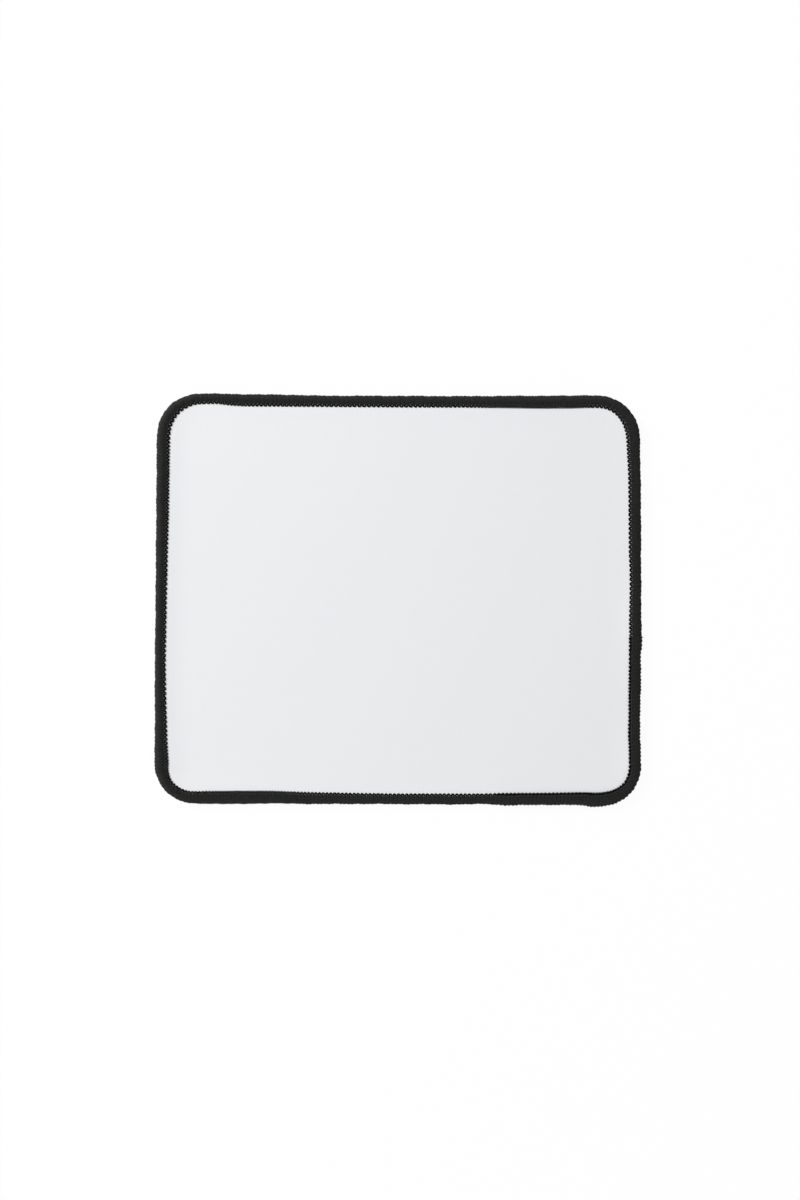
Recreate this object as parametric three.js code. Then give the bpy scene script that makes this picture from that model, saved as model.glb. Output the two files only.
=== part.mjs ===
// Mouse pad with a sewn edge: a sheet of cloth bonded to foam rubber, its cut edge bound by three threads.
// Millimetres, +Z up, X along the longer side, the origin in the middle of the face that lies on the table.
import * as THREE from 'three';

// Outside sizes, over the threads
const padWidth = 250;
const padDepth = 210;
const cornerRadius = 21;

// The sheet that the threads bind
const clothThickness = 0.5;
const rubberThickness = 2.5;
const rimSqueeze = 0.7; // how much the threads thin the sheet at its cut edge
const needleSqueeze = 0.25; // how much they thin it where the loops end
const liftRun = 6.5; // from the loops' tips inwards, the stretch that bends down to the table

// The sewn edge
const seamWidth = 6.3; // from the rim to the tips of the loops
const stitchPitch = 2.41; // from one stitch to the next, along the rim
const threadCover = 0.7; // the cover of thread under the sheet and beside its cut edge
const crownHeight = 0.85; // the highest ribs of the upper cover, above the cloth
const loopHeight = 0.45; // the loops' tops, above the cloth
const loopNotch = 0.7; // from the tips of the loops back to the notches between them
const loopRound = 0.3; // how far the loops' tops stand back from their tips
const ribRelief = 0.14; // how far the ribs stand above the hollows between them
const needleThickness = 0.3;
const needleInset = 5; // from the rim to the needle thread's middle
const threadGap = 0.05; // between the threads, and between them and the sheet

// Shares of the seam's width, from the rim: where the covers are highest, and where they turn down to the rim
const crownShare = 0.48;
const shoulderShare = 0.09;
const treadShare = 0.62; // the inner end of the flat strip that the edge stands on
const shoulderHeightShare = 0.6; // the shoulder's height above the cloth, as a share of the crown's

// Facets
const cornerSteps = 8; // in each corner of the sheet
const seatSpacing = 6.5; // between the points of the covers' hidden sides, on the straights
const needleSides = 6;

const sheetThickness = clothThickness + rubberThickness;
const cutInset = threadCover + threadGap;
const flatInset = seamWidth + liftRun;

// The outline: each station is a point on the line through the corners' centres and the way out from it

const straightX = padWidth - 2 * cornerRadius;
const straightY = padDepth - 2 * cornerRadius;
const cornerArc = (Math.PI / 2) * cornerRadius;

// The four sides counter-clockwise from the right one, each a straight and the corner after it
const sides = [
  { start: [straightX / 2, -straightY / 2], heading: [0, 1], length: straightY },
  { start: [straightX / 2, straightY / 2], heading: [-1, 0], length: straightX },
  { start: [-straightX / 2, straightY / 2], heading: [0, -1], length: straightY },
  { start: [-straightX / 2, -straightY / 2], heading: [1, 0], length: straightX },
];
const perimeter = 2 * straightX + 2 * straightY + 4 * cornerArc;

function straightStation(side, along) {
  const [headingX, headingY] = side.heading;
  return {
    foot: new THREE.Vector2(side.start[0] + headingX * along, side.start[1] + headingY * along),
    out: new THREE.Vector2(headingY, -headingX),
  };
}

function cornerStation(side, turn) {
  const end = straightStation(side, side.length);
  end.out.rotateAround(new THREE.Vector2(), turn);
  return end;
}

// The station at a distance along the rim
function stationAt(distance) {
  let along = distance;
  for (const side of sides) {
    if (along < side.length) return { ...straightStation(side, along), distance };
    along -= side.length;
    if (along < cornerArc) return { ...cornerStation(side, along / cornerRadius), distance };
    along -= cornerArc;
  }
  return stationAt(along);
}

// The distances of the corners' facets along the rim, with the straights split to a spacing or left whole
function cornerDistances(spacing) {
  const distances = [];
  let sideStart = 0;
  for (const side of sides) {
    const pieces = Math.max(1, Math.round(side.length / spacing));
    for (let i = 0; i < pieces; i += 1) distances.push(sideStart + (side.length * i) / pieces);
    for (let i = 0; i < cornerSteps; i += 1) {
      distances.push(sideStart + side.length + (cornerArc * i) / cornerSteps);
    }
    sideStart += side.length + cornerArc;
  }
  return distances;
}

const stitchCount = Math.round(perimeter / stitchPitch);
const stitchDistances = Array.from({ length: 2 * stitchCount }, (_, i) => (perimeter * i) / (2 * stitchCount));
const sheetStations = cornerDistances(Infinity).map(stationAt);
const seatStations = cornerDistances(seatSpacing).map(stationAt);
const stitchStations = stitchDistances.map(stationAt);

// A loop is one closed line round the pad: its points, and how far along the rim each one stands

function pointAt(station, inset, height) {
  const flat = station.foot.clone().addScaledVector(station.out, cornerRadius - inset);
  return new THREE.Vector3(flat.x, flat.y, height);
}

function plainLoop(stations, [inset, height]) {
  return stations.map((station) => ({
    point: pointAt(station, inset, height),
    distance: station.distance,
  }));
}

// Every other station is on a rib, and the ones between are in the hollows
function stitchedLoop(rib, hollow) {
  return stitchStations.map((station, i) => ({
    point: pointAt(station, ...(i % 2 === 0 ? rib : hollow)),
    distance: station.distance,
  }));
}

// A skin is built from loops, the first ones outwards along the underside and the last ones inwards along the top

class Skin {
  constructor() {
    this.positions = [];
    this.indices = [];
  }

  addPoint(point) {
    this.positions.push(point.x, point.y, point.z);
    return this.positions.length / 3 - 1;
  }

  addLoop(loop) {
    return loop.map(({ point, distance }) => ({ index: this.addPoint(point), distance }));
  }

  // Joins two loops with triangles, stepping along whichever loop has the nearer next edge
  join(first, second) {
    let i = 0;
    let j = 0;
    const indexOf = (loop, step) => loop[step % loop.length].index;
    const distanceOf = (loop, step) => (step < loop.length ? loop[step].distance : perimeter);
    const edgeMiddle = (loop, step) => (distanceOf(loop, step) + distanceOf(loop, step + 1)) / 2;
    while (i < first.length || j < second.length) {
      const firstIsNearer = edgeMiddle(first, i) <= edgeMiddle(second, j);
      if (j === second.length || (i < first.length && firstIsNearer)) {
        this.indices.push(indexOf(first, i), indexOf(first, i + 1), indexOf(second, j));
        i += 1;
      } else {
        this.indices.push(indexOf(first, i), indexOf(second, j + 1), indexOf(second, j));
        j += 1;
      }
    }
  }

  // Closes a flat loop with a fan from its middle
  cap(loop, height, facingUp) {
    const middle = this.addPoint(new THREE.Vector3(0, 0, height));
    loop.forEach(({ index }, i) => {
      const next = loop[(i + 1) % loop.length].index;
      this.indices.push(middle, ...(facingUp ? [index, next] : [next, index]));
    });
  }

  geometry() {
    const geometry = new THREE.BufferGeometry();
    geometry.setAttribute('position', new THREE.Float32BufferAttribute(this.positions, 3));
    geometry.setIndex(this.indices);
    geometry.computeVertexNormals();
    return geometry;
  }
}

function ringGeometry(loops) {
  const skin = new Skin();
  const added = loops.map((loop) => skin.addLoop(loop));
  added.forEach((loop, i) => skin.join(loop, added[(i + 1) % added.length]));
  return skin.geometry();
}

// A sheet between two faces, each a list of [inset, height] from the rim inwards, flat inside the last of them
function sheetGeometry(lowerFace, upperFace) {
  const skin = new Skin();
  const section = [...lowerFace.toReversed(), ...upperFace];
  const loops = section.map((place) => skin.addLoop(plainLoop(sheetStations, place)));
  for (let i = 1; i < loops.length; i += 1) skin.join(loops[i - 1], loops[i]);
  skin.cap(loops[0], lowerFace.at(-1)[1], false);
  skin.cap(loops.at(-1), upperFace.at(-1)[1], true);
  return skin.geometry();
}

function piece(name, geometry, color, roughness) {
  const mesh = new THREE.Mesh(geometry, new THREE.MeshStandardMaterial({ color, roughness, metalness: 0 }));
  mesh.name = name;
  return mesh;
}

// The sheet: flat on the table in the middle, lifted and squeezed where the threads pass under and over it

const underside = [
  [cutInset, threadCover + threadGap],
  [seamWidth, loopHeight + threadGap],
  [flatInset, 0],
];
const thicknesses = [sheetThickness - rimSqueeze, sheetThickness - needleSqueeze, sheetThickness];
const topside = underside.map(([inset, height], i) => [inset, height + thicknesses[i]]);
const bondLine = topside.map(([inset, height]) => [inset, height - clothThickness]);

// The cloth's height under the seam, between its cut edge and the loops' tips
function clothHeight(inset) {
  const [[cutAt, cutHeight], [tipAt, tipHeight]] = topside;
  return THREE.MathUtils.mapLinear(inset, cutAt, tipAt, cutHeight, tipHeight);
}

const rubberBase = piece('rubber_base', sheetGeometry(underside, bondLine), 0x19191a, 0.95);
const topCloth = piece('top_cloth', sheetGeometry(bondLine, topside), 0xebecee, 0.9);

// The two looper threads cover the faces from the rim to the needle line, and meet half way up the rim

const rimMiddle = (underside[0][1] + topside[0][1]) / 2;
const crownInset = crownShare * seamWidth;
const shoulderInset = shoulderShare * seamWidth;
const notchInset = seamWidth - loopNotch;
const tipHeight = clothHeight(seamWidth) + threadGap;

// Each upper line of the ring as the place of its ribs and the place of its hollows
function ribbed(ribInset, hollowInset, heightAboveCloth) {
  const height = clothHeight(ribInset) + heightAboveCloth;
  return stitchedLoop([ribInset, height], [hollowInset, height - ribRelief]);
}

const upperRim = rimMiddle + threadGap / 2;
const upperLooperThread = piece(
  'upper_looper_thread',
  ringGeometry([
    stitchedLoop([0, upperRim], [ribRelief, upperRim]),
    ribbed(shoulderInset, shoulderInset, crownHeight * shoulderHeightShare),
    ribbed(crownInset, crownInset, crownHeight),
    ribbed(needleInset, needleInset, loopHeight),
    ribbed(seamWidth - loopRound, notchInset - loopRound, loopHeight),
    stitchedLoop([seamWidth, tipHeight], [notchInset, tipHeight]),
    plainLoop(seatStations, [threadCover, topside[0][1] + threadGap]),
    plainLoop(seatStations, [threadCover, upperRim]),
  ]),
  0x2b2b2c,
  0.85,
);

const lowerRim = rimMiddle - threadGap / 2;
const lowerLooperThread = piece(
  'lower_looper_thread',
  ringGeometry([
    plainLoop(seatStations, [treadShare * seamWidth, 0]),
    plainLoop(seatStations, [shoulderInset, 0]),
    stitchedLoop([0, lowerRim], [ribRelief, lowerRim]),
    plainLoop(seatStations, [threadCover, lowerRim]),
    plainLoop(seatStations, [threadCover, threadCover]),
    stitchedLoop([seamWidth, loopHeight], [notchInset, loopHeight]),
  ]),
  0x2b2b2c,
  0.85,
);

// The needle thread lies across the loops' ribs and holds them down

const needleHeight = clothHeight(needleInset) + loopHeight + threadGap + needleThickness / 2;
const needleLoops = Array.from({ length: needleSides }, (_, i) => {
  const turn = (2 * Math.PI * i) / needleSides;
  return plainLoop(sheetStations, [
    needleInset - (needleThickness / 2) * Math.sin(turn),
    needleHeight - (needleThickness / 2) * Math.cos(turn),
  ]);
});
const needleThread = piece('needle_thread', ringGeometry(needleLoops), 0x262627, 0.8);

const mousePad = new THREE.Group();
mousePad.add(rubberBase, topCloth, lowerLooperThread, upperLooperThread, needleThread);

export default mousePad;
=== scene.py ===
import bisect
import math

import bpy
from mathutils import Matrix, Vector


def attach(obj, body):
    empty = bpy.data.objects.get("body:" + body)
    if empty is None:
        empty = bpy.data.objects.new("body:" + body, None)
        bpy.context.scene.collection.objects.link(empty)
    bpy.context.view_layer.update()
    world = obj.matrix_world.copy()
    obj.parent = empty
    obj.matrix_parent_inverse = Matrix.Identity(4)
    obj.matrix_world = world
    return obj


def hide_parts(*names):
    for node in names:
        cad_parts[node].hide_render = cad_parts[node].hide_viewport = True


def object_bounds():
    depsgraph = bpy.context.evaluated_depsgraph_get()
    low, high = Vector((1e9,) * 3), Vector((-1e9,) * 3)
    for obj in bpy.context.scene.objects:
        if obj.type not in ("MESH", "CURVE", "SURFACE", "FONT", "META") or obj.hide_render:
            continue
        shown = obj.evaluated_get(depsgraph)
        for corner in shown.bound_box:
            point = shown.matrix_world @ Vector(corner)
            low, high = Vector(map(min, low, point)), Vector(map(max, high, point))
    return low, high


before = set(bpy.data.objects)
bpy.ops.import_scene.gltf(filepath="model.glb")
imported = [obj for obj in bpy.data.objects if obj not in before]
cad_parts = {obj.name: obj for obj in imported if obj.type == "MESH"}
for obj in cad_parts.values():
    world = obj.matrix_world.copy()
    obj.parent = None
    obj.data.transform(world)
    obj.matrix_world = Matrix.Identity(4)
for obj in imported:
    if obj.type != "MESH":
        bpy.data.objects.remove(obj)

cad_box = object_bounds()

# The rubber sheet
# Black foam rubber, 2.5 mm thick, cut to the pad's outline. The threads squeeze its rim and lift it a
# little off the table. Its underside has the fine net print of the belt that it was cured on, which grips
# the table.

MM = 0.001
TOUCH = 0.01 * MM  # nearer than this, two points are one
STITCH = 2.36 * MM  # the length that a stitch is drawn with

# Across the edge, from the rim inwards or back: inset and height, in millimetres
BOND_LINE = (
    (0.95, 2.52), (3.5, 2.68), (5, 2.61), (6.3, 2.6), (8, 2.57), (10, 2.54), (12.5, 2.515), (15, 2.505),
    (18, 2.5),
)
UNDERSIDE = (
    (18, 0), (15, 0.005), (12.5, 0.03), (10, 0.1), (8, 0.25), (6.3, 0.45), (3.5, 0.62), (1.2, 0.72),
)
CUT_FACE = ((0.85, 1.1), (0.85, 2.2))


def drawn_strip(name, places, columns):
    """A strip one stitch long: a row of points through insets and heights, drawn out along X."""
    bpy.ops.object.select_all(action="DESELECT")
    bpy.ops.mesh.primitive_plane_add(size=MM)
    strip = bpy.context.active_object
    strip.name = name
    bpy.ops.object.mode_set(mode="EDIT")
    bpy.ops.mesh.merge(type="CENTER")
    bpy.ops.transform.translate(value=(0, *places[0]))
    for (y0, z0), (y1, z1) in zip(places, places[1:]):
        bpy.ops.mesh.extrude_vertices_move(TRANSFORM_OT_translate={"value": (0, y1 - y0, z1 - z0)})
    for _ in range(columns):
        bpy.ops.mesh.select_all(action="DESELECT")
        bpy.ops.object.mode_set(mode="OBJECT")
        last = max(vertex.co.x for vertex in strip.data.vertices)
        for vertex in strip.data.vertices:
            vertex.select = vertex.co.x > last - TOUCH
        bpy.ops.object.mode_set(mode="EDIT")
        bpy.ops.mesh.select_mode(type="EDGE")
        bpy.ops.mesh.extrude_edges_move(TRANSFORM_OT_translate={"value": (STITCH / columns, 0, 0)})
        bpy.ops.mesh.select_mode(type="VERT")
    bpy.ops.object.mode_set(mode="OBJECT")
    return strip


rubber_outline = (*reversed(BOND_LINE), *reversed(CUT_FACE), *reversed(UNDERSIDE))
rubber_sheet = drawn_strip("rubber_sheet", [(y * MM, z * MM) for y, z in rubber_outline], columns=1)

# The edge is sewn in one go round the pad, with the sheet guided by hand, so the seam wanders. The sheets
# and the threads are all made straight, one stitch long, then repeated and bent along it.
CORNER_RADIUS = 21 * MM
FEED_INSET = 2 * MM  # from the rim to the line along which the machine feeds evenly
LINE_STEP = 3 * MM  # between the points of that line

half_x, half_y = cad_box[1][0], cad_box[1][1]
straight_x, straight_y = 2 * (half_x - CORNER_RADIUS), 2 * (half_y - CORNER_RADIUS)
corner_arc = CORNER_RADIUS * math.pi / 2
rim_length = 2 * (straight_x + straight_y) + 4 * corner_arc

# Distance along the rim from the right side's near end, how far the rim lies outside its place, and the
# seam's width, all in millimetres
SEAM_BY_HAND = (
    (0, 0.1, 5.75), (8, 0, 5.75), (16, -0.55, 5.7), (24, -0.45, 5.5), (40, -0.15, 5.85), (56, -0.25, 5.6),
    (64, 0.5, 6.3), (72, 0.35, 6.5), (88, 0.2, 6.05), (100, 0.1, 6), (112, 0.05, 6.45), (136, -0.15, 6.5),
    (152, -0.45, 6.5), (168, -0.85, 7.05), (176, -0.75, 7.4), (184, -0.3, 7.15), (192, 0.05, 6.5),
    (200, 0.7, 6.4), (208, 1.15, 6.7), (216, 0.75, 6.65), (232, 0.65, 6.7), (248, 0.5, 6.4),
    (272, 0.25, 5.95), (305, 0.25, 6), (345, 0.15, 5.8), (360, 0.55, 6.15), (384, 0.75, 6.35),
    (392, 0.8, 6.1), (400, 1, 5.4), (408, 1.05, 5.55), (416, 0.4, 5.85), (424, 0.25, 6.4), (432, 0, 6.85),
    (440, -0.2, 6.85), (456, -0.1, 6.7), (480, -0.05, 6.55), (504, 0.05, 6.1), (530, 0.1, 5.7),
    (560, 0.35, 5.55), (584, 0.2, 5.95), (600, 0.15, 6.5), (612, 0.45, 7.5), (624, 0.5, 5.95),
    (632, 0.6, 6.1), (648, 0.45, 6.7), (664, 0.65, 7), (680, 0.15, 6.65), (704, 0.4, 6.15),
    (728, 0.25, 5.7), (745, 0.25, 5.5), (776, 0.3, 5.7), (792, 0, 5.45), (800, 0.3, 5.9),
    (824, -0.1, 5.75), (840, -0.1, 6.05), (848, 0.75, 6.75), (856, 0.45, 6.7), (864, 0.9, 6.45),
    (872, 0.6, 5.7),
)


def by_hand(knots, distance, column=1):
    """What a row of knots round the rim gives at a distance along it, in metres."""
    at = distance % rim_length / MM
    first = (knots[0][0] + rim_length / MM, *knots[0][1:])
    for near, far in zip(knots, (*knots[1:], first)):
        if at <= far[0]:
            break
    share = (at - near[0]) / (far[0] - near[0])
    return (near[column] + share * (far[column] - near[column])) * MM


def place_on(distance, inset):
    """The place at a distance along the rim, counter-clockwise, and at an inset from it."""
    left = distance % rim_length
    for turn, straight in enumerate((straight_y, straight_x, straight_y, straight_x)):
        along = min(left, straight)
        angle = min(max(left - straight, 0), corner_arc) / CORNER_RADIUS
        if left <= straight + corner_arc:
            break
        left -= straight + corner_arc
    across = (half_x if turn % 2 == 0 else half_y) - CORNER_RADIUS
    ahead = along - straight / 2
    reach = CORNER_RADIUS - inset
    x, y = across + reach * math.cos(angle), ahead + reach * math.sin(angle)
    for _ in range(turn):
        x, y = -y, x
    return x, y


def line_object(name, places, closed=False, kind="NURBS"):
    """A curve object through a row of places."""
    curve = bpy.data.curves.new(name, "CURVE")
    curve.dimensions = "3D"
    spline = curve.splines.new(kind)
    spline.points.add(len(places) - 1)
    for point, (x, y, z) in zip(spline.points, places):
        point.co = (x, y, z, 1)
    spline.use_cyclic_u = closed
    line = bpy.data.objects.new(name, curve)
    bpy.context.scene.collection.objects.link(line)
    return line


line_points = round(rim_length / LINE_STEP)
line_places = []
for i in range(-1, line_points - 1):  # a closed curve of this kind starts beside its second point
    distance = rim_length * i / line_points
    line_places.append((*place_on(distance, FEED_INSET - by_hand(SEAM_BY_HAND, distance)), 0))
seam_line = line_object("seam_line", line_places, closed=True)
seam_line.data.splines[0].order_u = 4
seam_line.data.splines[0].resolution_u = 8
seam_length = seam_line.data.splines[0].calc_length()

# Distance along the rim and the length of the stitches there, in millimetres: the machine takes less
# cloth along after a corner
FEED_BY_HAND = (
    (0, 2.4), (4, 2.04), (8, 1.88), (16, 1.9), (24, 2.06), (36, 1.76), (42, 1.76), (56, 2.18), (68, 2),
    (80, 2.28), (92, 2.4), (116, 2.42), (132, 2.38), (148, 2.36), (156, 2.22), (162, 2), (168, 2),
    (173, 2.5), (192, 2.8), (197, 2.72), (204, 2.3), (208, 1.7), (212, 1.45), (220, 1.56), (226, 1.63),
    (248, 1.65),
    (256, 1.76), (264, 1.88), (272, 2.14), (280, 2.24), (292, 2.32), (300, 2.46), (312, 2.37), (324, 2.53),
    (336, 2.39), (344, 2.41), (352, 2.32), (368, 2.19), (376, 2.25), (384, 1.94), (391, 1.79), (400, 2),
    (408, 2.46), (416, 3.04), (424, 3.15), (432, 3.08), (440, 2.9), (445, 1.94), (449, 1.77), (456, 1.74),
    (468, 1.82), (484, 1.92), (492, 2.1), (500, 2.31), (516, 2.42), (536, 2.53), (552, 2.45), (568, 2.5),
    (584, 2.46), (592, 2.38), (600, 2.08), (604, 1.74), (618, 1.78), (623, 1.95), (628, 2.28), (640, 2.16),
    (644, 1.86), (649, 1.66), (656, 1.43), (664, 1.44), (676, 1.51), (688, 1.65), (700, 1.87), (708, 1.96),
    (732, 2.09), (756, 2.16), (768, 2.2), (800, 2.15), (808, 2), (820, 1.98), (832, 2.05), (840, 1.9),
    (850, 1.7), (858, 1.82), (864, 1.94), (872, 2.33), (879, 2.53),
)
FEED_STEP = 0.5 * MM

feed_steps = round(rim_length / FEED_STEP)
sewn = [0]  # the stitches from the rim's start to each step along it
for step in range(feed_steps):
    stitch_here = by_hand(FEED_BY_HAND, rim_length * (step + 0.5) / feed_steps)
    sewn.append(sewn[-1] + rim_length / feed_steps / stitch_here)
stitches = round(sewn[-1])
sewn = [count * stitches / sewn[-1] for count in sewn]


def reached(count):
    """The distance along the rim that the seam has come to after a number of stitches."""
    rounds, rest = divmod(count, stitches)
    step = bisect.bisect_right(sewn, rest) - 1
    share = (rest - sewn[step]) / (sewn[step + 1] - sewn[step])
    return (rounds + (step + share) / feed_steps) * rim_length


SEAM_WIDTH = 6 * MM  # the width that a stitch is drawn with
PULL = 0.07 * MM  # how far the pull of the threads moves the stitches in or out
PULL_SWINGS = (156, 83, 35)  # in one round of the pad

# Distance along the rim and how far the edge stands off the table there, in millimetres
LIFT_BY_HAND = (
    (0, 0.22), (30, 0), (71, 0.25), (110, 0.02), (168, 0), (225, 0.05), (400, 0.14), (450, 0.34),
    (600, 0.38), (650, 0.16), (740, 0.06), (850, 0.12),
)
LIFT_END = 18 * MM  # from the rim inwards, where the sheet lies on the table again


def pulled(distance):
    """How far the stitches at a distance along the rim are pulled in, uneven from one to the next."""
    return PULL * sum(math.sin(math.tau * distance / rim_length * times) for times in PULL_SWINGS)


def work_on(piece):
    """Leaves only this piece selected and active."""
    bpy.ops.object.select_all(action="DESELECT")
    piece.select_set(True)
    bpy.context.view_layer.objects.active = piece


def finish_modifiers(piece):
    work_on(piece)
    for modifier in list(piece.modifiers):
        bpy.ops.object.modifier_apply(modifier=modifier.name)


def sew_round(piece, count=stitches, start=0, layer=None):
    """Repeats a piece one stitch long, fits each stitch to the seam at its place and bends the row."""
    row = piece.modifiers.new("row", "ARRAY")
    row.count = count
    row.use_relative_offset = False
    row.use_constant_offset = True
    row.constant_offset_displace = (STITCH, 0, 0)
    row.use_merge_vertices = True
    row.merge_threshold = TOUCH
    finish_modifiers(piece)
    for vertex in piece.data.vertices:
        stitch = vertex.co.x / STITCH + start
        if layer:
            stitch = layer(vertex.co, stitch)
        distance = reached(stitch)
        wider = by_hand(SEAM_BY_HAND, distance, 2) / SEAM_WIDTH
        inset = vertex.co.y
        vertex.co.x = distance / rim_length * seam_length
        vertex.co.y = min(inset, SEAM_WIDTH) * wider + max(inset - SEAM_WIDTH, 0) - FEED_INSET
        if inset < SEAM_WIDTH:
            vertex.co.y += pulled(distance)
        run = min(max((inset - SEAM_WIDTH) / (LIFT_END - SEAM_WIDTH), 0), 1)
        vertex.co.z += by_hand(LIFT_BY_HAND, distance) * (1 - run) ** 2
    bend = piece.modifiers.new("bend", "CURVE")
    bend.object = seam_line
    bend.deform_axis = "POS_X"
    finish_modifiers(piece)


def join_ends(piece):
    """Joins the end of a strip that goes all the way round to its start."""
    work_on(piece)
    bpy.ops.object.mode_set(mode="EDIT")
    bpy.ops.mesh.select_all(action="SELECT")
    bpy.ops.mesh.remove_doubles(threshold=TOUCH)
    bpy.ops.mesh.normals_make_consistent(inside=False)
    bpy.ops.object.mode_set(mode="OBJECT")


RING_STEP = 4 * MM  # between the points of a strip's inner edge once they are thinned out


def pick_open_ring(piece, height):
    """Selects the open edges at a height."""
    work_on(piece)
    bpy.ops.object.mode_set(mode="EDIT")
    bpy.ops.mesh.select_mode(type="EDGE")
    bpy.ops.mesh.select_all(action="DESELECT")
    bpy.ops.mesh.select_non_manifold()
    bpy.ops.object.mode_set(mode="OBJECT")
    for vertex in piece.data.vertices:
        vertex.select = vertex.select and abs(vertex.co.z - height) < TOUCH
    for edge in piece.data.edges:
        edge.select = edge.select and all(piece.data.vertices[end].select for end in edge.vertices)
    bpy.ops.object.mode_set(mode="EDIT")


def close_middle(piece, height):
    """Thins out the points of the open ring at a height and closes it with a fan of faces to its middle."""
    pick_open_ring(piece, height)
    bpy.ops.mesh.remove_doubles(threshold=RING_STEP)
    bpy.ops.object.mode_set(mode="OBJECT")
    pick_open_ring(piece, height)
    bpy.ops.mesh.extrude_edges_move()
    bpy.ops.mesh.merge(type="CENTER")
    bpy.ops.mesh.select_mode(type="VERT")
    bpy.ops.mesh.select_all(action="SELECT")
    bpy.ops.mesh.normals_make_consistent(inside=False)
    bpy.ops.object.mode_set(mode="OBJECT")


face_height = BOND_LINE[-1][1] * MM
sew_round(rubber_sheet)
join_ends(rubber_sheet)
close_middle(rubber_sheet, face_height)
close_middle(rubber_sheet, 0)
bpy.ops.object.shade_smooth()


class Socket:
    """A value, colour or vector between shader nodes, with the sums that the finishes below use."""

    def __init__(self, tree, link):
        self.tree, self.link = tree, link

    def node(self, kind, settings=(), output=0, **values):
        """Adds a node, makes its settings, fills its sockets and gives one of its outputs."""
        made = self.tree.nodes.new(kind)
        for name, value in dict(settings).items():
            setattr(made, name, value)
        for name, value in values.items():
            socket = made.inputs[int(name[2:]) if name.startswith("in") else name.replace("_", " ")]
            if isinstance(value, Socket):
                self.tree.links.new(value.link, socket)
            else:
                socket.default_value = value
        return Socket(self.tree, made.outputs[output]) if made.outputs else None

    def math(self, operation, *others):
        values = {f"in{i}": value for i, value in enumerate((self, *others))}
        return self.node("ShaderNodeMath", {"operation": operation}, **values)

    def __add__(self, other):
        return self.math("ADD", other)

    def __sub__(self, other):
        return self.math("SUBTRACT", other)

    def __mul__(self, other):
        return self.math("MULTIPLY", other)

    def __truediv__(self, other):
        return self.math("DIVIDE", other)

    def __rsub__(self, other):
        return self.node("ShaderNodeMath", {"operation": "SUBTRACT"}, in0=other, in1=self)

    def __rtruediv__(self, other):
        return self.node("ShaderNodeMath", {"operation": "DIVIDE"}, in0=other, in1=self)

    __radd__ = __add__
    __rmul__ = __mul__

    def flat(self):
        """The first two coordinates of a vector."""
        split = self.node("ShaderNodeSeparateXYZ", Vector=self)
        return split, Socket(self.tree, split.link.node.outputs[1])

    def wave(self):
        """A value that swings from 0 to 1 and back once for every whole step of this one."""
        return (self * math.tau).math("SINE") * 0.5 + 0.5

    def mixed(self, first, second):
        """The first colour where this is 0 and the second where it is 1."""
        return self.node(
            "ShaderNodeMix", {"data_type": "RGBA"}, output=2, in0=self, in6=(*first, 1), in7=(*second, 1)
        )


def finish_of(name, roughness, **uniform):
    """A new material and its shader."""
    material = bpy.data.materials.new(name)
    material.use_nodes = True
    shader = material.node_tree.nodes["Principled BSDF"]
    shader.inputs["Roughness"].default_value = roughness
    for socket, value in uniform.items():
        shader.inputs[socket.replace("_", " ")].default_value = value
    return material, shader


def on_surface(material, kind):
    """Where a point lies: "Object" gives its place on the pad, "UV" that along a thread and round it."""
    coordinates = material.node_tree.nodes.new("ShaderNodeTexCoord")
    return Socket(material.node_tree, coordinates.outputs[kind])


def feed(socket, shader, name):
    socket.tree.links.new(socket.link, shader.inputs[name])


def relief(height, depth):
    """The normal of a surface whose height is given from 0 to 1, over a depth in metres."""
    return height.node("ShaderNodeBump", Height=height, Distance=depth, Strength=1.0)


NET = 1.3 * MM  # from cord to cord of the net print
NET_DEPTH = 0.12 * MM
CORD_TOP, CORD_ROUNDING = 0.8, 0.3  # as shares of the cords' height, where and how softly they are flat
PORE_SCALE = 2400  # per metre
FOAM_LOW, FOAM_HIGH = (0.010, 0.010, 0.0105), (0.019, 0.019, 0.0195)

foam, shader = finish_of("foam_rubber", 0.85)
place = on_surface(foam, "Object")
x, y = place.flat()
cords = ((x + y) / NET).wave().math("MAXIMUM", ((x - y) / NET).wave())
pores = place.node("ShaderNodeTexNoise", Vector=place, Scale=PORE_SCALE, Detail=3.0)
net_print = cords.math("SMOOTH_MIN", CORD_TOP, CORD_ROUNDING) + pores * 0.25
feed(net_print.mixed(FOAM_LOW, FOAM_HIGH), shader, "Base Color")
feed(relief(net_print, NET_DEPTH), shader, "Normal")
rubber_sheet.data.materials.append(foam)
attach(rubber_sheet, "root")
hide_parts("rubber_base")

# The cloth
# White polyester knit, half a millimetre thick, bonded all over to the rubber. Beside the seam it climbs
# a little, and each stitch draws a shallow pucker into it.

CLOTH_THICK = 0.5 * MM
PUCKER = {5.0: -0.05 * MM, 6.3: -0.05 * MM, 8.0: -0.02 * MM}  # its depth at three insets in millimetres

cloth_section = [(y * MM, z * MM) for y, z in reversed(BOND_LINE)]
cloth_section += [(y * MM, z * MM + CLOTH_THICK) for y, z in BOND_LINE]
cloth_face = drawn_strip("cloth_face", cloth_section, columns=4)
for vertex in cloth_face.data.vertices:
    for inset, depth in PUCKER.items():
        if abs(vertex.co.y - inset * MM) < TOUCH:
            vertex.co.z += depth * (0.5 - 0.5 * math.cos(math.tau * vertex.co.x / STITCH))
sew_round(cloth_face)
join_ends(cloth_face)
close_middle(cloth_face, face_height)
close_middle(cloth_face, face_height + CLOTH_THICK)
bpy.ops.object.shade_smooth()

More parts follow.
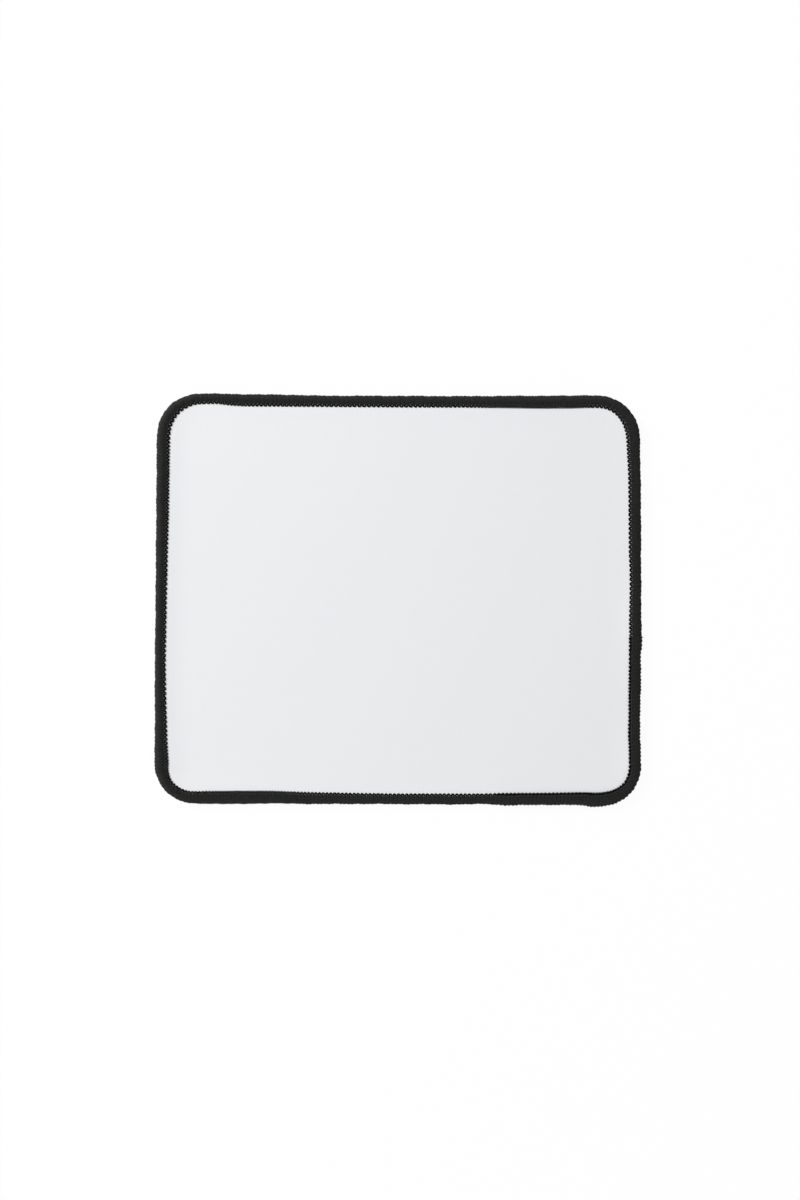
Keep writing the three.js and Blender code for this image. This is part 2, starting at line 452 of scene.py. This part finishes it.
WALE = 0.42 * MM  # from one column of the knit's loops to the next
COURSE = 0.34 * MM  # from one row to the next
LEG_CLIMB = 1.6  # rows that the legs of a loop would climb across a whole column
KNIT_DEPTH = 0.005 * MM
STRAY_SCALE, MOTTLE_SCALE, LINT_SCALE = 900, 260, 75  # per metre
LINT_SIZE = 0.018  # a speck's radius, as a share of the space between specks
CLOTH_LOW, CLOTH_HIGH = (0.805, 0.815, 0.835), (0.85, 0.86, 0.88)

knit, shader = finish_of("knitted_cloth", 0.8, Sheen_Weight=0.1, Sheen_Roughness=0.5)
place = on_surface(knit, "Object")
x, y = place.flat()
column = (x / WALE).math("FRACT")
slant = (column - 0.5).math("ABSOLUTE")
rows = (y / COURSE + slant * LEG_CLIMB).wave()
ridges = (column * 2).wave()
stray = place.node("ShaderNodeTexNoise", Vector=place, Scale=STRAY_SCALE, Detail=2.0)
knit_height = rows * 0.55 + ridges * 0.25 + stray * 0.4
mottle = place.node("ShaderNodeTexNoise", Vector=place, Scale=MOTTLE_SCALE, Detail=4.0)
lint = place.node("ShaderNodeTexVoronoi", Vector=place, Scale=LINT_SCALE).math("LESS_THAN", LINT_SIZE)
tone = knit_height * 0.7 + mottle * 0.3 - lint * 1.6
feed(tone.mixed(CLOTH_LOW, CLOTH_HIGH), shader, "Base Color")
feed(relief(knit_height, KNIT_DEPTH), shader, "Normal")
cloth_face.data.materials.append(knit)
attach(cloth_face, "root")
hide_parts("top_cloth")

# The upper looper thread
# One textured black yarn that covers the top of the edge. From the rim it runs in over the cloth to the
# needle line, turns back in a tight loop, in whose open eye the cloth shows, and runs out to the rim
# again, where it is caught by the lower thread.

YARN_WIDE, YARN_THICK = 2.3 * MM, 0.58 * MM
YARN_SIDES = 6
ROLL = math.radians(17)  # turns the yarn back after it has leaned over on its way up from the rim

# For half a stitch: the share of its length, the inset and the height in millimetres, and the share of
# the yarn's width
UPPER_ROUTE = (
    (0, 0.14, 1.72, 0.6), (0.08, 0.14, 1.72, 0.6), (0.16, 0.26, 2.3, 0.68), (0.215, 0.52, 2.95, 0.73),
    (0.245, 1.15, 3.52, 0.77), (0.25, 2.5, 3.9, 0.79), (0.25, 3.8, 3.68, 0.77), (0.24, 4.4, 3.5, 0.69),
    (0.205, 4.78, 3.37, 0.54), (0.197, 5, 3.32, 0.49), (0.208, 5.25, 3.28, 0.46), (0.246, 5.47, 3.26, 0.45),
    (0.31, 5.63, 3.25, 0.46), (0.4, 5.73, 3.25, 0.48), (0.5, 5.76, 3.25, 0.48),
)


def thread_section(name, wide, thick, sides):
    """The outline of a flattened thread, with a flat at each end of its wider side."""
    turns = [math.tau * (i + 0.5) / sides for i in range(sides)]
    places = [(wide / 2 * math.cos(turn), thick / 2 * math.sin(turn), 0) for turn in turns]
    return line_object(name, places, closed=True, kind="POLY")


yarn_section = thread_section("yarn_section", YARN_WIDE, YARN_THICK, YARN_SIDES)


def thread_line(name, half_route, section):
    """The line of one stitch with its section: the first half as it is given, and the second mirrors it."""
    route = [*half_route, *((1 - share, *rest) for share, *rest in reversed(half_route[:-1]))]
    line = line_object(name, [(x * STITCH, y * MM, z * MM) for x, y, z, *_ in route], kind="POLY")
    for point, (*_, width) in zip(line.data.splines[0].points, route):
        point.radius = width
    line.data.bevel_mode = "OBJECT"
    line.data.bevel_object = section
    return line


def thread_mesh(line):
    work_on(line)
    bpy.ops.object.convert(target="MESH")
    bpy.ops.object.shade_smooth()
    return bpy.context.active_object


def looper_stitch(name, half_route, roll):
    """One stitch of a looper thread, from the middle of one turn at the rim to the middle of the next.

    The yarn lies flat against the rim, and the roll brings it level again on the face."""
    yarn = thread_line(name, half_route, yarn_section)
    points = yarn.data.splines[0].points
    for point in points:
        point.tilt = math.pi / 2 + roll
    for rim in (0, 1, -2, -1):
        points[rim].tilt = math.pi / 2
    return thread_mesh(yarn)


upper_stitches = looper_stitch("upper_stitches", UPPER_ROUTE, -ROLL)

# The seam starts on the near side and goes on over its own start, round the right near corner
SEAM_START = 797 * MM  # along the rim
OVERLAP = 77  # stitches
LAYER_CLIMB = 3  # stitches, from the first layer up to the full height of the second
LAYER_SHIFT = 0.15  # of a stitch, from the first layer's stitches to those that cover them
LAYER_WIDER = 0.09  # as a share of the inset
LAYER_OUT = 0.3 * MM
LAYER_UP = 0.28 * MM
RIM_TOP = 2.4 * MM  # what lies higher is raised
RIM_DEPTH = 1.5 * MM  # what lies further out bulges at its turns
RIM_BULGE = 0.2 * MM

seam_start = sewn[round(SEAM_START / rim_length * feed_steps)]


def second_layer(place, stitch):
    """Where the seam has gone all the way round, it runs on over its own start, higher and wider."""
    rise = min(max((stitch - seam_start - stitches) / LAYER_CLIMB, 0), 1)
    if place.y < RIM_DEPTH:
        place.y -= RIM_BULGE * rise * (0.5 + 0.5 * math.cos(math.tau * place.x / STITCH))
    place.y = place.y * (1 + LAYER_WIDER * rise) - LAYER_OUT * rise
    if place.z > RIM_TOP:
        place.z += min(place.z - RIM_TOP, LAYER_UP) * rise
    return stitch + LAYER_SHIFT * rise


def finish_thread(piece):
    """Closes a thread's cut ends and shades it by its broad faces, as filaments even out the ridges."""
    work_on(piece)
    bpy.ops.object.mode_set(mode="EDIT")
    bpy.ops.mesh.select_all(action="DESELECT")
    bpy.ops.mesh.select_non_manifold()
    bpy.ops.mesh.fill_holes(sides=YARN_SIDES)
    bpy.ops.mesh.select_all(action="SELECT")
    bpy.ops.mesh.normals_make_consistent(inside=False)
    bpy.ops.object.mode_set(mode="OBJECT")
    piece.modifiers.new("broad_faces", "WEIGHTED_NORMAL")
    finish_modifiers(piece)


sew_round(upper_stitches, stitches + OVERLAP, seam_start, second_layer)
finish_thread(upper_stitches)

# Along the yarn from the tip of its loop, as shares of a stitch: painted shade darkens it up to the first
# place and fades out by the second, and beyond the third painted light brightens it towards the fourth, on
# the rim
TIP_SHADE_TO, TIP_SHADE_END, RIM_LIGHT_START, RIM_LIGHT_FULL = 0.14, 0.22, 0.29, 0.38
INNER_PAINTED_SHADE, RIM_PAINTED_LIGHT = 0.95, 1.5  # painted shade on the inner yarn and painted light on the yarn by the rim, as factors on its colour
FILAMENTS, FILAMENT_TURNS = 30, 9  # round the yarn, and along a stitch
WANDER_SCALE = 260.0  # per metre, as the other scales are
TUFT_SCALE = 700
FILAMENT_DEPTH = 0.12 * MM
YARN_LOW, YARN_HIGH = (0.0006, 0.0006, 0.0006), (0.032, 0.0317, 0.0308)


def eased(value, start, end, low, high):
    """Goes softly from low to high while the value goes from start to end."""
    return value.node(
        "ShaderNodeMapRange", {"interpolation_type": "SMOOTHSTEP"},
        Value=value, From_Min=start, From_Max=end, To_Min=low, To_Max=high,
    )


yarn_finish, shader = finish_of("looper_yarn", 0.7, Specular_IOR_Level=0.06)
place = on_surface(yarn_finish, "Object")
own = on_surface(yarn_finish, "UV")
along, around = own.flat()
strands = own.node("ShaderNodeCombineXYZ", X=along * FILAMENT_TURNS, Y=around * FILAMENTS, Z=0.0)
wander = place.node("ShaderNodeVectorMath", {"operation": "SCALE"}, in0=place, Scale=WANDER_SCALE)
strands = strands.node("ShaderNodeVectorMath", {"operation": "ADD"}, in0=strands, in1=wander)
filaments = strands.node("ShaderNodeTexNoise", Vector=strands, Scale=1.0, Detail=4.0, Roughness=0.75)
tufts = place.node("ShaderNodeTexNoise", Vector=place, Scale=TUFT_SCALE, Detail=3.0)
fuzz = filaments * 1.2 + tufts * 0.5 - 0.35
from_tip = (along - 0.5).math("ABSOLUTE")
# Painted shade: the tip of each loop is darkened in the yarn's colour
painted_tip_shade = eased(from_tip, TIP_SHADE_TO, TIP_SHADE_END, 0.0, 1.0)
# Painted light: the yarn's colour is made lighter towards the rim, where its outer shoulder catches the
# light
painted_rim_light = eased(from_tip, RIM_LIGHT_START, RIM_LIGHT_FULL, INNER_PAINTED_SHADE, RIM_PAINTED_LIGHT)
feed((fuzz * painted_tip_shade * painted_rim_light).mixed(YARN_LOW, YARN_HIGH), shader, "Base Color")
feed(relief(fuzz, FILAMENT_DEPTH), shader, "Normal")
upper_stitches.data.materials.append(yarn_finish)
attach(upper_stitches, "root")
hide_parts("upper_looper_thread")

# The lower looper thread
# The same yarn on the underside, half a stitch along from the upper one, so that the turns of the two
# hook into each other on the rim. The pad stands on it.

LOWER_ROUTE = (
    (0, 0.62, 2.16, 0.6), (0.08, 0.62, 2.16, 0.6), (0.16, 0.66, 1.55, 0.68), (0.215, 0.76, 0.95, 0.73),
    (0.245, 1.2, 0.52, 0.77), (0.25, 2.5, 0.3, 0.79), (0.25, 3.8, 0.29, 0.77), (0.24, 4.4, 0.26, 0.69),
    (0.205, 4.78, 0.23, 0.54), (0.197, 5, 0.21, 0.49), (0.208, 5.25, 0.2, 0.46), (0.246, 5.47, 0.2, 0.45),
    (0.31, 5.63, 0.2, 0.46), (0.4, 5.73, 0.2, 0.48), (0.5, 5.76, 0.2, 0.48),
)

lower_stitches = looper_stitch("lower_stitches", LOWER_ROUTE, ROLL)
sew_round(lower_stitches, stitches + OVERLAP, seam_start + 0.5, second_layer)
finish_thread(lower_stitches)
# Its finish carries the same painted shade at the loop tips and painted light towards the rim
lower_stitches.data.materials.append(yarn_finish)
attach(lower_stitches, "root")
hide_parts("lower_looper_thread")

# The needle thread
# A finer twisted thread that goes down through the sheet in the eye of each loop and crosses over to the
# next one, so it holds both looper threads down along the needle line.

NEEDLE_THICK = 0.3 * MM
NEEDLE_SIDES = 5
NEEDLE_ROUTE = (
    (0, 4.45, 3.87, 1), (0.05, 4.45, 3.87, 1), (0.22, 4.45, 3.83, 1), (0.37, 4.48, 3.55, 1),
    (0.48, 4.6, 2.95, 1), (0.5, 4.62, 2.85, 1),
)

needle_section = thread_section("needle_section", NEEDLE_THICK, NEEDLE_THICK, NEEDLE_SIDES)
needle_stitches = thread_mesh(thread_line("needle_stitches", NEEDLE_ROUTE, needle_section))
sew_round(needle_stitches, stitches + OVERLAP, seam_start, second_layer)
finish_thread(needle_stitches)
for guide in (seam_line, yarn_section, needle_section):
    bpy.data.objects.remove(guide)

PLIES = 3  # round the thread
PLY_TURNS = 6  # in one stitch
PLY_DEPTH = 0.03 * MM
PLY_LOW, PLY_HIGH = (0.015, 0.015, 0.015), (0.048, 0.048, 0.046)

twist, shader = finish_of("needle_twist", 0.8, Specular_IOR_Level=0.15)
along, around = on_surface(twist, "UV").flat()
plies = (around * PLIES + along * PLY_TURNS).wave()
feed(plies.mixed(PLY_LOW, PLY_HIGH), shader, "Base Color")
feed(relief(plies, PLY_DEPTH), shader, "Normal")
needle_stitches.data.materials.append(twist)
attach(needle_stitches, "root")
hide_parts("needle_thread")

# The photographer's table
# A plain white surface in a white room. A wide soft lamp stands on the left and a weaker one on the near
# side, and the rest of the light comes from all round.

TABLE_SIZE = 6
TABLE_GAP = 0.05 * MM  # under the pad, so that the two faces never meet
TABLE_WHITE = 0.955  # the share of the table's look that is plain white, where the rest takes the shadow
ROOM_LIGHT = 0.3  # the room's light on the pad, as a share of the white that shows
WHITE, CARD = (1, 1, 1, 1), (0.95, 0.95, 0.95, 1)


def seen_rays(tree):
    """1 for the rays that show a thing to the camera, straight, in gloss or through glass, or else 0."""
    path = tree.nodes.new("ShaderNodeLightPath")
    rays = [Socket(tree, path.outputs[f"Is {kind} Ray"]) for kind in ("Camera", "Glossy", "Transmission")]
    return (rays[0] + rays[1] + rays[2]).math("MINIMUM", 1)


bpy.ops.object.select_all(action="DESELECT")
bpy.ops.mesh.primitive_plane_add(size=TABLE_SIZE, location=(0, 0, -TABLE_GAP))
table = bpy.context.active_object
table.name = "table"
paper = bpy.data.materials.new("white_table")
paper.use_nodes = True
tree = paper.node_tree
tree.nodes.clear()
card = Socket(tree, tree.nodes.new("ShaderNodeBsdfDiffuse").outputs[0])
card.link.node.inputs["Color"].default_value = CARD
glow = card.node("ShaderNodeEmission", Color=WHITE, Strength=1.0)
blend = card.node("ShaderNodeMixShader", in0=seen_rays(tree) * TABLE_WHITE, in1=card, in2=glow)
card.node("ShaderNodeOutputMaterial", in0=blend)
table.data.materials.append(paper)

world = bpy.data.worlds.new("white_room")
bpy.context.scene.world = world
world.use_nodes = True
room = world.node_tree.nodes["Background"]
room.inputs["Color"].default_value = WHITE
feed(seen_rays(world.node_tree) * (1 - ROOM_LIGHT) + ROOM_LIGHT, room, "Strength")


def lamp(name, place, size, power):
    """A round lamp that faces the pad."""
    light = bpy.data.lights.new(name, "AREA")
    light.shape = "DISK"
    light.size = size
    light.energy = power
    holder = bpy.data.objects.new(name, light)
    holder.location = place
    x, y, z = place
    holder.rotation_euler = (math.atan2(math.hypot(x, y), z), 0, math.atan2(y, x) + math.pi / 2)
    bpy.context.scene.collection.objects.link(holder)


lamp("window", (-2.6, 1.43, 1.65), 1.9, 150)
lamp("near_side", (1.5, -4.5, 1.6), 3, 60)

# The camera
# The photograph looks straight down. A long lens stands square above the pad, and the frame of 800 x 1200
# points shows 412 x 618 mm of the table.

POINT = 0.5148 * MM  # one point of the frame, at the height of the cloth
FRAME_POINTS = 1200  # from the frame's lower side to its upper one
PAD_SHIFT = 1.7 * POINT  # from the pad's middle to the camera's
PAD_TURN = math.radians(0.26)
CLOTH_TOP = 3 * MM
LENS, SENSOR = 100, 36

camera_data = bpy.data.cameras.new("camera")
camera_data.lens = LENS
camera_data.sensor_width = SENSOR
camera = bpy.data.objects.new("camera", camera_data)
camera.location = (PAD_SHIFT, 0, CLOTH_TOP + FRAME_POINTS * POINT * LENS / SENSOR)
camera.rotation_euler = (0, 0, PAD_TURN)
bpy.context.scene.collection.objects.link(camera)
bpy.context.scene.camera = camera
bpy.context.scene.view_settings.view_transform = "Standard"
